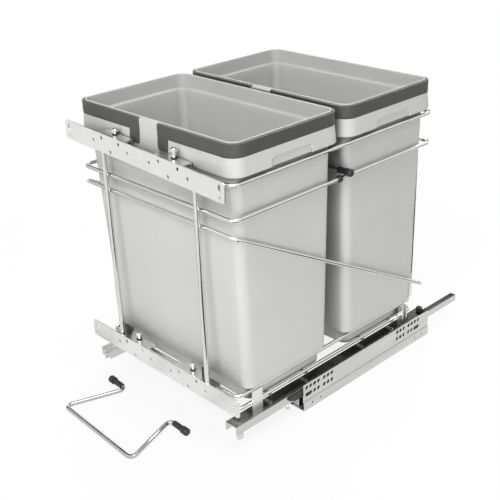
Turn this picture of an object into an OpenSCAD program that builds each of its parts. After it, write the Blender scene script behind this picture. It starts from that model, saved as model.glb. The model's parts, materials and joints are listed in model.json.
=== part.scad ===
// Pull-out bin frame: chromed wire frame with two waste bins on a pair of floor-mounted slides

/* [Door plates] */
// Length of each door plate
plate_w = 360; // [340:1:380]
// Height of each door plate
plate_h = 30; // [26:1:36]
// Sheet thickness of the door plates
plate_t = 2.5; // [2:0.5:3]
// Corner radius of the door plates
plate_corner_r = 5; // [2:1:8]
// Height of the lower plate's bottom edge above the cabinet floor
lower_plate_z = 64; // [60:1:66]
// How far the upper plate's bottom edge lies below the middle of the top ring
upper_plate_drop = 9; // [0:1:11]
// How far the upper plate stands in front of the lower one
upper_plate_forward = 7; // [4:1:8]
// Tilt at which the upper plate is set on its adjusting screws, left end up
upper_plate_roll = 2.5; // [0:0.5:3]
// Distance from the plate's middle to the near end of each tab
tab_in = 34; // [28:1:40]
// Length of each tab
tab_len = 62; // [54:1:64]
// Depth of each tab behind the plate's face
tab_depth = 18.5; // [17:0.5:19]
// Height of the lip that turns down behind each tab
tab_lip = 6; // [4:0.5:6.5]
// Diameter of the door screw holes
door_hole_d = 5; // [4:0.5:6]
// Distance of the lower door holes from the plate's bottom edge
door_hole_low = 6; // [5:0.5:8]
// Distance of the upper door holes from the plate's top edge
door_hole_high = 7; // [6:0.5:9]
// Distance of the first door hole from the plate's middle
door_hole_first = 25; // [22:1:28]
// Step from one door hole to the next
door_hole_step = 20.5; // [18:0.5:21]
// Distance of the end slots from the plate's ends
door_slot_end = 10; // [8:1:14]
// Length of the end slots between the middles of their round ends
door_slot_l = 6; // [4:0.5:8]

/* [Adjusting screws] */
// Shank diameter of the adjusting screws
screw_d = 6; // [5:0.5:6]
// Distance of each screw from the plate's middle
screw_x = 67; // [62:1:72]
// Distance of each screw behind the plate's face
screw_y = 12; // [11:0.5:13]
// Head diameter of the adjusting screws
head_d = 10.5; // [9:0.5:12]
// Head height of the adjusting screws
head_h = 5; // [4:0.5:6]
// Room between a tab at level and the screw head above it
head_room = 8; // [7:0.5:10]
// Width of the cross recess in the screw heads
cross_w = 1.4; // [1:0.1:2]
// Length of the cross recess
cross_l = 6.3; // [5:0.1:7]
// Depth of the cross recess
cross_depth = 2; // [1:0.5:2.5]
// How much wider a tab's hole is than the screw in it, so that the plate can tilt
tilt_slack = 2.4; // [2:0.1:3]
// Outer diameter of the washers on the tabs
washer_d = 12; // [11:0.5:12]
// Thickness of the washers
washer_t = 1.5; // [1:0.5:2.5]
// Sheet thickness of the brackets that carry the screws
bracket_t = 2.5; // [2:0.5:3]
// How far the brackets reach inwards past the screws
bracket_in = 12; // [8:1:14]
// How far the brackets reach outwards past the posts
bracket_out = 4; // [2:1:6]
// Height of the nuts under the brackets
nut_h = 5; // [4:0.5:6]
// Width of the nuts over their corners
nut_d = 11.4; // [10:0.1:11.6]
// How far the screws' ends stand below the nuts
screw_tail = 2; // [1:0.5:3]
// Length of the black post guides on the lower plate's tabs, front to back
guide_l = 11; // [8:1:12]
// Length of the post guides at the top
guide_top_l = 3; // [2:0.5:5]
// Height of the post guides
guide_h = 18; // [12:1:20]
// Thickness of the post guides
guide_t = 6; // [5:0.5:8]
// Room between the post guides and the posts
guide_room = 2.5; // [2.5:0.5:4]
// Distance of the post guides behind the plate's face
guide_y = 7; // [3:0.5:8]

/* [Wire frame] */
// Wire diameter of the rings
wire_d = 6; // [5:0.5:7]
// Bend radius of the rings at the wire's middle
ring_bend_r = 11; // [8:1:16]
// Width of the upper rings between wire middles
ring_w = 344; // [330:1:352]
// Length of the upper rings between wire middles
ring_l = 440; // [425:1:460]
// Height of the top ring
upper_ring_z = 420; // [416:1:424]
// Height of the middle ring
middle_ring_z = 370; // [362:1:378]
// Height of the sloping brace ring at the front
brace_front_z = 345; // [330:1:350]
// Height of the sloping brace ring at the rear
brace_rear_z = 108.5; // [95:0.5:130]
// Diameter of the upright posts
post_d = 8; // [7:0.5:9]
// Distance of each front post from the middle
post_x = 105; // [102:1:112]
// How far the front posts reach below their brackets
post_tail = 12; // [8:1:14]

/* [Tray] */
// Width of the tray rings between wire middles
tray_w = 306; // [296:1:310]
// Distance of the tray's front wire behind the upper rings' front wire
tray_setback = 9; // [7:1:12]
// Height of the tray's upper ring
tray_upper_z = 77; // [75:1:79]
// Height of the tray's lower ring
tray_lower_z = 55; // [54:1:58]
// Sheet thickness of the tabs that stand on the slides
tab_t = 2.5; // [2:0.5:3]
// Width of the front slide tabs
front_tab_w = 21; // [16:1:26]
// Distance of the front slide tabs behind the lower plate's face
front_tab_y = 49; // [44:1:54]
// Width of the rear slide tabs
rear_tab_w = 13; // [11:1:18]
// How far the rear slide tabs turn outwards
rear_tab_flange = 10; // [8:1:11]

/* [Bins] */
// Height of the bins' rim above the middle of the top ring
rim_lift = 57; // [54:1:66]
// Room between the top ring and the collars' bottom edge
collar_lift = 6; // [2:0.5:8]
// Corner radius of the collar
bin_corner_r = 22; // [18:1:28]
// How far a bin's collar reaches outwards past the middle of the top ring's side wires
collar_over = 3; // [1:0.5:4]
// How far the collar widens towards its bottom edge
collar_flare = 2.5; // [0.5:0.5:2.5]
// Distance of the front bin's collar behind the middle of the top ring's front wire
bin_front_gap = 1.5; // [1:0.5:4]
// Room between the rear bin's body and the rear posts
rear_post_room = 0.7; // [0.5:0.1:3]
// Room between the two bins' collars
bin_gap = 12; // [8:0.5:16]
// Wall thickness of the collar
collar_wall = 3; // [2.5:0.5:3.5]
// How far the body steps in under the collar
collar_step = 8.5; // [8:0.5:9]
// How far the front wall leans in from collar to shoulder
front_lean = 14; // [8:0.5:18]
// How far the rear wall leans in from collar to shoulder
rear_lean = 2; // [1:0.5:6]
// How far each side wall leans in from collar to shoulder
side_lean = 6; // [3:0.5:8]
// Room between a bin's shoulder and the tray's upper ring
shoulder_room = 0.6; // [0.5:0.1:3]
// Width of the slanted edge round the shoulder
shoulder_edge = 5; // [3:0.5:7]
// Corner radius of the shoulder
shoulder_corner_r = 15; // [12:1:20]
// How far the base steps back behind the shoulder at the front
base_front_step = 13; // [8:0.5:16]
// How far the base steps in under the shoulder at the rear
base_rear_step = 2; // [1:0.5:6]
// Room between a bin's base and the tray's side wires
bin_tray_gap = 2; // [2:0.5:8]
// Corner radius of the bins' base
foot_corner_r = 16; // [12:1:22]
// Wall thickness of the bins
bin_wall = 2.5; // [2:0.5:3]
// Floor thickness of the bins
bin_floor = 3; // [2:0.5:5]
// Height of the ledge inside the bin below the band
ledge_drop = 3.5; // [3:0.5:6]
// Width of the grip recess in a bin's side
grip_w = 82; // [60:1:100]
// Height of the grip recess
grip_h = 14; // [12:0.5:16]
// Depth of the grip recess
grip_depth = 1.5; // [1:0.5:2]
// Corner radius of the grip recess
grip_corner_r = 9; // [6:1:12]
// How far the grip recess lies behind the bin's middle
grip_offset = 3; // [0:1:12]

/* [Bag bands] */
// Height of the band that clamps the bag
band_h = 19; // [17:0.5:21]
// Thickness of the band
band_t = 4.5; // [3.5:0.5:5]
// How far the band stands proud of the collar
band_proud = 0.5; // [0.5:0.5:1.5]
// Height of the bin's bare lip above the band
band_lip = 1.5; // [1:0.5:4]
// Gap between the band's two ends
band_gap = 41; // [30:1:60]
// Width of the finger leg at each end of the band
leg_w = 23; // [18:1:30]
// How far the finger legs reach below the band
leg_drop = 20; // [16:1:24]
// Corner radius of the finger legs
leg_corner_r = 7; // [4:0.5:8]

/* [Divider] */
// Distance of the divider wire behind the middle of the gap between the bins
divider_offset = 6; // [4:0.5:8]
// Distance of the ring stops in front of the divider wire
stop_offset = 11; // [9:1:14]
// Outer diameter of the rubber sleeves
sleeve_d = 11; // [10:0.5:12]
// Head diameter of the rubber caps
cap_head_d = 16; // [14:0.5:18]
// Head length of the rubber caps
cap_head_h = 12; // [9:0.5:14]
// Edge rounding of the rubber caps
cap_round = 3; // [2:0.5:4]
// How far a wire's end reaches into a cap's head
cap_bore = 2; // [1:0.5:4]
// Sleeve length of the divider caps
divider_sleeve_l = 14; // [12:1:18]
// Length of the rubber stops on the middle ring
stop_l = 5; // [4:0.5:8]

/* [Slides] */
// Length of the drawer channels
channel_l = 564; // [550:1:580]
// Distance of the drawer channels behind the lower plate's face
channel_y = 3.5; // [0:0.5:10]
// Width of the drawer channels
channel_w = 24; // [22:1:26]
// Height of the drawer channels
channel_h = 15; // [13:1:17]
// Height of the channels' upper face above the cabinet floor
channel_z = 41; // [39:1:43]
// Sheet thickness of the slides
sheet_t = 1.5; // [1:0.25:2]
// Length of the cabinet profiles
profile_l = 330; // [326:1:350]
// Distance of the cabinet profiles behind the lower plate's face
profile_y = 144; // [140:1:150]
// Height of the cabinet profiles' hole plate
profile_h = 48; // [47:0.5:50]
// Height of the bend under the hole plate
profile_bend_z = 16.5; // [15:0.5:20]
// Room between the drawer channel and the hole plate
profile_gap = 3.4; // [3:0.1:5]
// Height of the profiles' inner edge
profile_lip_h = 12; // [9:0.5:14]
// Room between the drawer channel and the profiles' inner edge
profile_side_gap = 2; // [1:0.5:3]
// Diameter of the holes in the hole plate
screw_hole_d = 6.5; // [5:0.5:7]
// Pitch of the holes in the hole plate
hole_pitch = 9.2; // [8.5:0.1:10]
// Distance between the two rows of holes
hole_row_gap = 13; // [11:0.5:14]
// Distance of the upper row below the hole plate's top edge
hole_top_edge = 7; // [5:0.5:8]
// Distance of the first holes behind the hole plate's front end
hole_front_edge = 8; // [6:0.5:12]
// Distance of the last holes in front of the hole plate's rear end
hole_rear_edge = 30; // [26:1:40]
// Diameter of the small holes in the profiles' lower edge
edge_hole_d = 3.5; // [3:0.5:5]
// Height of the small holes
edge_hole_z = 8.5; // [7:0.5:10]
// Distance of the small holes from the profiles' ends and from each other
edge_hole_step = 20; // [15:1:30]
// How far the middle rails slide back from rest when the frame is shut
rail_back = 20; // [10:1:30]
// Width of the middle rails
rail_w = 16; // [14:0.5:17]
// Height of the middle rails above the cabinet profiles' base
rail_lift = 2.5; // [1.5:0.25:3.5]
// Room between the middle rails and the drawer channels' upper face
rail_room = 3; // [2:0.5:5]
// Length of each glide block
glide_l = 24; // [16:1:40]
// Length of the narrow tail at the rear of each drawer channel
tail_l = 88; // [70:1:100]
// Width of the tails
tail_w = 11; // [8:0.5:14]
// Height of the tails
tail_h = 12; // [10:0.5:13]
// Diameter of the hole in each tail
tail_hole_d = 5; // [4:0.5:6]
// Distance of that hole from the tail's end
tail_hole_end = 10; // [8:1:20]
// Length of the plastic feet at the channels' front
foot_l = 11; // [8:1:14]
// Width of the plastic feet
foot_t = 4; // [3:0.5:5]
// Height of the plastic feet
foot_h = 10; // [8:0.5:12]
// Distance of the plastic feet from the channels' front ends
foot_end = 3; // [1:0.5:6]
// Length of the rear buffers, front to back
buffer_l = 8; // [7:0.5:10]
// Width of the rear buffers across the channels
buffer_w = 21; // [18:0.5:24]
// Distance of the rear buffers from the profiles' rear ends
buffer_end = 1; // [0.5:0.5:6]
// Room between the rear buffers and the tray's lower ring above them, and the channels below
buffer_room = 1; // [0.5:0.5:2]
// How far the rear buffers hang down inside the hole plate
buffer_drop = 12; // [10:0.5:14]
// Thickness of the rear buffers' hanging leg
buffer_t = 2; // [1.5:0.25:2.5]
// Diameter of the buffer rivets
rivet_d = 3; // [2:0.5:4]
// Distance of the buffer rivets below the hole plate's top edge
rivet_drop = 6; // [4:0.5:8]

/* [Loose wire] */
// Wire diameter of the loose wire
loose_d = 7; // [6:0.5:8]
// Length of its base between corners
loose_base = 188; // [170:1:200]
// Width of its neck between bends
loose_neck = 121; // [110:1:140]
// Length over its end caps
loose_span = 212; // [206:1:224]
// Depth from base to neck
loose_depth = 97; // [80:1:110]
// Head diameter of the loose wire's caps
loose_cap_d = 12.5; // [11:0.5:16]
// Sleeve diameter of the loose wire's caps
loose_sleeve_d = 9.5; // [8.5:0.5:10.5]
// Bend radius of the loose wire
loose_bend_r = 8; // [6:1:10]
// Turn of the loose wire on the floor
loose_turn = -2.5; // [-8:0.5:8]
// Sideways place of the base's middle
loose_x = -21.5; // [-28:0.5:-10]
// Distance of the base's middle in front of the lower plate's face
loose_y = 117; // [114:1:130]

/* [Hidden] */
$fn = 48;
// Running clearance between bodies that move
clear = 0.4;
// Depth to which a welded wire sinks into its neighbour
weld = 0.05;
// Room that is left between the rear tabs and the buffers when the frame is shut
closing_gap = 4;

// Front reach of the loose wire, at the bend of its forward corner
loose_lean = atan((loose_base - loose_neck) / 2 / loose_depth);
loose_trim = loose_bend_r * tan(45 + loose_lean / 2);
loose_corner_u = loose_base / 2 - loose_trim;
loose_reach = loose_y + loose_corner_u * abs(sin(loose_turn)) + loose_d / 2
    + loose_bend_r * (1 - cos(loose_turn));
// The part is centred front to back between the loose wire and the channels' rear ends
face_y = (loose_reach - channel_y - channel_l) / 2;

// Rows of the wire frame, front to back
post_y = face_y + plate_t + clear + post_d / 2;
ring_front_y = post_y + post_d / 2 + wire_d / 2 - weld;
ring_rear_y = ring_front_y + ring_l;
rear_post_y = ring_rear_y - wire_d / 2 - post_d / 2 + weld;
tray_front_y = ring_front_y + tray_setback;
tray_l = rear_post_y - tray_front_y;

// Door plates, screws and brackets
upper_face_y = face_y - upper_plate_forward;
lower_screw_y = face_y + screw_y;
upper_screw_y = upper_face_y + screw_y;
upper_plate_z = upper_ring_z - upper_plate_drop;
lower_tab_z = lower_plate_z + plate_h;
upper_tab_z = upper_plate_z + plate_h;
lower_bracket_z = tray_upper_z + wire_d / 2 - weld;
upper_bracket_z = upper_ring_z + wire_d / 2 - weld;
post_bottom_z = lower_bracket_z - post_tail;
rear_post_x = tray_w / 2 - wire_d / 2;

// Bins
rim_z = upper_ring_z + rim_lift;
collar_z = upper_ring_z + wire_d / 2 + collar_lift;
bin_w = ring_w + 2 * collar_over;
collar_rear_y = rear_post_y - post_d / 2 - rear_post_room + collar_step;
bin_d = (collar_rear_y - ring_front_y - bin_front_gap - bin_gap) / 2;
bin1_y = ring_front_y + bin_front_gap + bin_d / 2;
bin2_y = bin1_y + bin_d + bin_gap;
cross_wire_z = tray_lower_z - wire_d + weld;
bin_z = cross_wire_z + wire_d / 2 + clear;
body_w = bin_w - 2 * collar_step;
body_d = bin_d - 2 * collar_step;
body_corner_r = bin_corner_r - collar_step;
shoulder_z = tray_upper_z + wire_d / 2 + shoulder_room;
shoulder_w = body_w - 2 * side_lean;
shoulder_d = body_d - front_lean - rear_lean;
shoulder_shift = (front_lean - rear_lean) / 2;
foot_w = tray_w - wire_d - 2 * bin_tray_gap;
foot_d = shoulder_d - base_front_step - base_rear_step;
foot_shift = shoulder_shift + (base_front_step - base_rear_step) / 2;
band_z1 = rim_z - band_lip;
band_z0 = band_z1 - band_h;
ledge_z = band_z0 - ledge_drop;
web_z = ledge_z - bin_wall;
rim_inset = band_t - band_proud + clear;

// Slides
channel_x = tray_w / 2 + wire_d / 2 - weld + tab_t / 2;
plate_x = channel_x + channel_w / 2 + profile_gap;
profile_x0 = channel_x - channel_w / 2 - profile_side_gap;
profile_x1 = plate_x + 2 * sheet_t;
profile_front = face_y + profile_y;
profile_rear = profile_front + profile_l;
rail_l = profile_l - rail_back;
rail_bottom = sheet_t + rail_lift;
rail_top = channel_z - sheet_t - rail_room;
hole_upper_z = profile_h - hole_top_edge;
hole_lower_z = hole_upper_z - hole_row_gap;
hole_front = profile_front + hole_front_edge;
hole_rear = profile_rear - hole_rear_edge;
// Holes in each row of a group, and how many of them stand close together
hole_count = 7;
hole_close = 4;
channel_rear = face_y + channel_y + channel_l;
buffer_y = profile_rear - buffer_l - buffer_end;
buffer_top = tray_lower_z - wire_d / 2 - buffer_room;
buffer_bottom = channel_z + buffer_room;
rear_tab_y = buffer_y - 2 * rail_back - rear_tab_w - closing_gap;

// Divider
divider_y = (bin1_y + bin2_y) / 2 + divider_offset;
divider_z = middle_ring_z + wire_d / 2 + sleeve_d / 2 + clear;
divider_half = ring_w / 2 + wire_d / 2 + clear;

// Loose wire
loose_tilt = asin((loose_cap_d - loose_d) / 2 / loose_depth);
loose_end = loose_span / 2 - cap_head_h + cap_bore;
loose_cap_from = loose_neck / 2 + loose_trim;
loose_cap_sleeve_l = loose_span / 2 - cap_head_h - loose_cap_from;
loose_sides = 16;
loose_bend_steps = 6;

chrome = [0.80, 0.81, 0.82];
zinc = [0.86, 0.86, 0.85];
galvanised = [0.66, 0.67, 0.67];
black_rubber = [0.09, 0.09, 0.09];
bin_grey = [0.77, 0.78, 0.76];
band_grey = [0.37, 0.38, 0.36];
clear_plastic = [0.90, 0.90, 0.88];

// A straight wire along X
module wire_x(x, y, z, l, d) {
    translate([x, y, z]) rotate([0, 90, 0]) cylinder(d = d, h = l);
}

// A straight wire along Y
module wire_y(x, y, z, l, d) {
    translate([x, y, z]) rotate([-90, 0, 0]) cylinder(d = d, h = l);
}

// A closed ring of wire with its front wire on y = 0
module wire_ring(w, l, bend_r, d) {
    x = w / 2 - bend_r;
    for (y = [0, l]) wire_x(-x, y, 0, 2 * x, d);
    for (s = [-1, 1]) wire_y(s * w / 2, bend_r, 0, l - 2 * bend_r, d);
    corners = [[x, l - bend_r], [-x, l - bend_r], [-x, bend_r], [x, bend_r]];
    for (i = [0:3])
        translate(corners[i])
            rotate([0, 0, 90 * i])
                rotate_extrude(angle = 90) translate([bend_r, 0]) circle(d = d);
}

module upper_size_ring(z) {
    translate([0, ring_front_y, z]) wire_ring(ring_w, ring_l, ring_bend_r, wire_d);
}

module tray_ring(z) {
    translate([0, tray_front_y, z]) wire_ring(tray_w, tray_l, ring_bend_r, wire_d);
}

module both_sides() {
    children();
    mirror([1, 0, 0]) children();
}

// A flat section in X and Z, drawn out along Y
module along_y(y, l) {
    translate([0, y + l, 0]) rotate([90, 0, 0]) linear_extrude(l) children();
}

// A hole or pin along Y
module bore_y(x, y, z, d, l) {
    translate([x, y, z]) rotate([-90, 0, 0]) cylinder(d = d, h = l);
}

// A hole along X
module bore_x(x, y, z, d, l) {
    translate([x, y, z]) rotate([0, 90, 0]) cylinder(d = d, h = l);
}

module rounded_rect(w, l, r) {
    square([w - 2 * r, l], center = true);
    square([w, l - 2 * r], center = true);
    for (x = [-1, 1], y = [-1, 1])
        translate([x * (w / 2 - r), y * (l / 2 - r)]) circle(r);
}

// Wire frame
module upper_ring() { color(chrome) upper_size_ring(upper_ring_z); }

module middle_ring() { color(chrome) upper_size_ring(middle_ring_z); }

module brace_ring() {
    drop = brace_front_z - brace_rear_z;
    color(chrome)
        translate([0, ring_front_y, brace_front_z])
            rotate([-atan(drop / ring_l), 0, 0])
                wire_ring(ring_w, norm([ring_l, drop]), ring_bend_r, wire_d);
}

module front_posts() {
    color(chrome) both_sides()
        translate([post_x, post_y, post_bottom_z])
            cylinder(d = post_d, h = upper_bracket_z - post_bottom_z);
}

module rear_posts() {
    base = tray_upper_z + wire_d / 2 - weld;
    color(chrome) both_sides()
        translate([rear_post_x, rear_post_y, base])
            cylinder(d = post_d, h = upper_ring_z + wire_d / 2 - base);
}

// Tray
module tray_upper_ring() { color(chrome) tray_ring(tray_upper_z); }

module tray_lower_ring() { color(chrome) tray_ring(tray_lower_z); }

// The wires on which the bins stand are welded under the lower ring
module tray_cross_wires() {
    color(chrome)
        for (y = [bin1_y, bin2_y], s = [-1, 1])
            wire_x(-tray_w / 2, y + foot_shift + s * foot_d / 4, cross_wire_z, tray_w, wire_d);
}

module front_slide_tabs() {
    color(zinc) both_sides()
        translate([channel_x - tab_t / 2, face_y + front_tab_y, channel_z])
            cube([tab_t, front_tab_w, tray_upper_z - channel_z]);
}

module rear_slide_tabs() {
    color(zinc) both_sides()
        translate([channel_x - tab_t / 2, rear_tab_y, channel_z])
            difference() {
                cube([rear_tab_flange, rear_tab_w, tray_upper_z - channel_z]);
                translate([tab_t, tab_t, -1])
                    cube([rear_tab_flange, rear_tab_w - 2 * tab_t, tray_upper_z]);
            }
}

// Door plates and their adjusters
module door_slot(x) {
    z1 = plate_h - door_hole_high;
    z0 = z1 - door_slot_l;
    for (z = [z0, z1]) bore_y(x, -1, z, door_hole_d, plate_t + 2);
    translate([x - door_hole_d / 2, -1, z0]) cube([door_hole_d, plate_t + 2, door_slot_l]);
}

// The door holes stand in a zigzag of three rows
module plate_holes() {
    mid = plate_h / 2;
    high = plate_h - door_hole_high;
    rows = [mid, high, door_hole_low, high, mid];
    end_x = plate_w / 2 - door_slot_end;
    for (s = [-1, 1]) {
        for (i = [0:4])
            bore_y(s * (door_hole_first + i * door_hole_step), -1, rows[i], door_hole_d, plate_t + 2);
        bore_y(s * end_x, -1, door_hole_low, door_hole_d, plate_t + 2);
        door_slot(s * end_x);
    }
}

// One door plate, level, with its face on y = 0 and its bottom edge on z = 0
module door_plate_shape() {
    difference() {
        union() {
            along_y(0, plate_t)
                translate([0, plate_h / 2]) rounded_rect(plate_w, plate_h, plate_corner_r);
            both_sides() {
                translate([tab_in, 0, plate_h - plate_t]) cube([tab_len, tab_depth, plate_t]);
                translate([tab_in, tab_depth - plate_t, plate_h - tab_lip])
                    cube([tab_len, plate_t, tab_lip]);
            }
        }
        plate_holes();
        both_sides()
            translate([screw_x, screw_y, plate_h - plate_t - 1])
                cylinder(d = screw_d + tilt_slack, h = plate_t + 2);
    }
}

module washer_shape() {
    both_sides()
        translate([screw_x, screw_y, plate_h])
            difference() {
                cylinder(d = washer_d, h = washer_t);
                translate([0, 0, -1]) cylinder(d = screw_d + tilt_slack, h = washer_t + 2);
            }
}

module at_lower_plate() { translate([0, face_y, lower_plate_z]) children(); }

module at_upper_plate() {
    translate([0, upper_face_y, upper_plate_z + plate_h / 2])
        rotate([0, upper_plate_roll, 0])
            translate([0, 0, -plate_h / 2]) children();
}

module lower_door_plate() { color(zinc) at_lower_plate() door_plate_shape(); }

module upper_door_plate() { color(zinc) at_upper_plate() door_plate_shape(); }

module lower_washers() { color(black_rubber) at_lower_plate() washer_shape(); }

module upper_washers() { color(black_rubber) at_upper_plate() washer_shape(); }

// Black wedges at the ends of the lower plate's tabs, beside the posts
module post_guides() {
    color(black_rubber)
        at_lower_plate() both_sides()
            translate([post_x - post_d / 2 - guide_room - guide_t, guide_y, plate_h])
                rotate([90, 0, 90])
                    linear_extrude(guide_t)
                        polygon([[0, 0], [guide_l, 0], [guide_top_l, guide_h], [0, guide_h]]);
}

// A round screw head with a domed top, standing on z = 0
module screw_head() {
    dome_r = head_d * 0.65;
    difference() {
        rotate_extrude()
            intersection() {
                square([head_d / 2, head_h]);
                translate([0, head_h - dome_r]) circle(dome_r);
            }
        for (a = [0, 90])
            translate([0, 0, head_h])
                rotate([0, 0, a]) cube([cross_l, cross_w, 2 * cross_depth], center = true);
    }
}

module adjusting_screws(y, tab_z, bracket_z) {
    head_z = tab_z + head_room;
    end_z = bracket_z - nut_h - screw_tail;
    color(chrome) both_sides()
        translate([screw_x, y, 0]) {
            translate([0, 0, end_z]) cylinder(d = screw_d, h = head_z - end_z);
            translate([0, 0, head_z]) screw_head();
        }
}

module screw_brackets(y0, y1, screw_at, z) {
    x0 = screw_x - bracket_in;
    x1 = post_x + post_d / 2 + bracket_out;
    color(zinc) both_sides()
        difference() {
            translate([x0, y0, z]) cube([x1 - x0, y1 - y0, bracket_t]);
            translate([screw_x, screw_at, z - 1]) cylinder(d = screw_d + weld, h = bracket_t + 2);
            children();
        }
}

module screw_nuts(y, z) {
    color(zinc) both_sides()
        translate([screw_x, y, z - nut_h])
            difference() {
                cylinder(d = nut_d, h = nut_h, $fn = 6);
                translate([0, 0, -1]) cylinder(d = screw_d + weld, h = nut_h + 2);
            }
}

module lower_brackets() {
    screw_brackets(face_y + plate_t + clear, tray_front_y + wire_d / 2, lower_screw_y, lower_bracket_z)
        translate([post_x, post_y, lower_bracket_z - 1]) cylinder(d = post_d + weld, h = bracket_t + 2);
}

module upper_brackets() {
    screw_brackets(upper_face_y + plate_t + clear, ring_front_y, upper_screw_y, upper_bracket_z);
}

module lower_adjusting_screws() { adjusting_screws(lower_screw_y, lower_tab_z, lower_bracket_z); }

module upper_adjusting_screws() { adjusting_screws(upper_screw_y, upper_tab_z, upper_bracket_z); }

module lower_nuts() { screw_nuts(lower_screw_y, lower_bracket_z); }

module upper_nuts() { screw_nuts(upper_screw_y, upper_bracket_z); }

// A rubber cap with its sleeve on z = 0 and its head above
module rubber_cap(inner_d, outer_d, head_r, sleeve_l) {
    rotate_extrude()
        difference() {
            union() {
                square([outer_d / 2, sleeve_l]);
                translate([0, sleeve_l]) square([head_r, cap_head_h - cap_round]);
                translate([0, sleeve_l]) square([head_r - cap_round, cap_head_h]);
                translate([head_r - cap_round, sleeve_l + cap_head_h - cap_round]) circle(cap_round);
            }
            translate([0, -1]) square([inner_d / 2, sleeve_l + cap_bore + 1]);
        }
}

// Divider between the bins
module divider_wire() {
    half = divider_half + cap_bore;
    color(chrome) wire_x(-half, divider_y, divider_z, 2 * half, wire_d);
}

module divider_caps() {
    color(black_rubber) both_sides()
        translate([divider_half - divider_sleeve_l, divider_y, divider_z])
            rotate([0, 90, 0]) rubber_cap(wire_d, sleeve_d, cap_head_d / 2, divider_sleeve_l);
}

module ring_stops() {
    color(black_rubber) both_sides()
        translate([ring_w / 2, divider_y - stop_offset, middle_ring_z])
            rotate([-90, 0, 0])
                difference() {
                    cylinder(d = sleeve_d, h = stop_l, center = true);
                    cylinder(d = wire_d, h = stop_l + 2, center = true);
                }
}

// Slides
module channel_section() {
    x0 = channel_x - channel_w / 2;
    difference() {
        translate([x0, channel_z - channel_h]) square([channel_w, channel_h]);
        translate([x0 + sheet_t, channel_z - channel_h - 1])
            square([channel_w - 2 * sheet_t, channel_h + 1 - sheet_t]);
    }
}

// A drawer channel keeps only its outer edge along the tail at its rear
module drawer_channel() {
    x1 = channel_x + channel_w / 2;
    color(galvanised)
        difference() {
            along_y(face_y + channel_y, channel_l) channel_section();
            along_y(channel_rear - tail_l, tail_l + 1) {
                translate([x1 - tail_w - channel_w, 0]) square([channel_w, channel_z + 1]);
                square([x1 + 1, channel_z - tail_h]);
            }
            bore_x(x1 - sheet_t - 1, channel_rear - tail_hole_end, channel_z - tail_h / 2,
                tail_hole_d, sheet_t + 2);
        }
}

module right_drawer_channel() { drawer_channel(); }

module left_drawer_channel() { mirror([1, 0, 0]) drawer_channel(); }

module channel_feet() {
    color(clear_plastic) both_sides()
        translate([channel_x + channel_w / 2 - foot_t, face_y + channel_y + foot_end,
                channel_z - channel_h - foot_h])
            cube([foot_t, foot_l, foot_h]);
}

module profile_section() {
    translate([profile_x0, 0]) square([profile_x1 - profile_x0, sheet_t]);
    translate([profile_x0, 0]) square([sheet_t, profile_lip_h]);
    translate([profile_x1 - sheet_t, 0]) square([sheet_t, profile_bend_z]);
    translate([plate_x, profile_bend_z - sheet_t]) square([profile_x1 - plate_x, sheet_t]);
    translate([plate_x, profile_bend_z - sheet_t]) square([sheet_t, profile_h - profile_bend_z + sheet_t]);
}

module cabinet_profile() {
    l = profile_x1 - plate_x + 2;
    color(galvanised)
        difference() {
            along_y(profile_front, profile_l) profile_section();
            for (i = [0:hole_count - 1], z = [hole_lower_z, hole_upper_z]) {
                step = i * hole_pitch + (i < hole_close ? 0 : hole_pitch / 2);
                bore_x(plate_x - 1, hole_front + step, z, screw_hole_d, l);
                bore_x(plate_x - 1, hole_rear - step, z, screw_hole_d, l);
            }
            for (y = [hole_front, hole_rear - hole_pitch])
                translate([plate_x - 1, y, hole_lower_z - screw_hole_d / 2])
                    cube([l, hole_pitch, screw_hole_d]);
            for (i = [1, 2], y = [profile_front + i * edge_hole_step, profile_rear - i * edge_hole_step])
                bore_x(plate_x, y, edge_hole_z, edge_hole_d, l);
        }
}

module right_cabinet_profile() { cabinet_profile(); }

module left_cabinet_profile() { mirror([1, 0, 0]) cabinet_profile(); }

// A middle rail is an upright channel inside the drawer channel
module middle_rail() {
    x0 = channel_x - rail_w / 2;
    color(galvanised)
        along_y(profile_front, rail_l)
            difference() {
                translate([x0, rail_bottom]) square([rail_w, rail_top - rail_bottom]);
                translate([x0 + sheet_t, rail_bottom + sheet_t]) square([rail_w - 2 * sheet_t, rail_top]);
            }
}

module right_middle_rail() { middle_rail(); }

module left_middle_rail() { mirror([1, 0, 0]) middle_rail(); }

// Glide blocks fill the rail's ends and run on the channel above and the profile below
module glides() {
    inner = rail_w - 2 * sheet_t;
    x0 = channel_x - inner / 2;
    floor_z = rail_bottom + sheet_t;
    color(clear_plastic)
        for (y = [profile_front, profile_front + rail_l - glide_l]) {
            translate([x0, y, floor_z]) cube([inner, glide_l, channel_z - sheet_t - clear - floor_z]);
            translate([x0, y, sheet_t + clear]) cube([inner, glide_l, rail_lift - clear]);
        }
}

module right_glides() { glides(); }

module left_glides() { mirror([1, 0, 0]) glides(); }

module buffer_bore(l) {
    bore_x(plate_x - l, buffer_y + buffer_l / 2, profile_h - rivet_drop, rivet_d, l);
}

module rear_buffers() {
    color(black_rubber) both_sides()
        difference() {
            union() {
                translate([plate_x + sheet_t - buffer_w, buffer_y, buffer_bottom])
                    cube([buffer_w - sheet_t, buffer_l, buffer_top - buffer_bottom]);
                translate([plate_x - buffer_t, buffer_y, profile_h])
                    cube([buffer_t + sheet_t, buffer_l, buffer_top - profile_h]);
                translate([plate_x - buffer_t, buffer_y, profile_h - buffer_drop])
                    cube([buffer_t, buffer_l, buffer_drop]);
            }
            buffer_bore(buffer_t + 1);
        }
}

module buffer_rivets() { color(zinc) both_sides() buffer_bore(buffer_t); }

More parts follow.
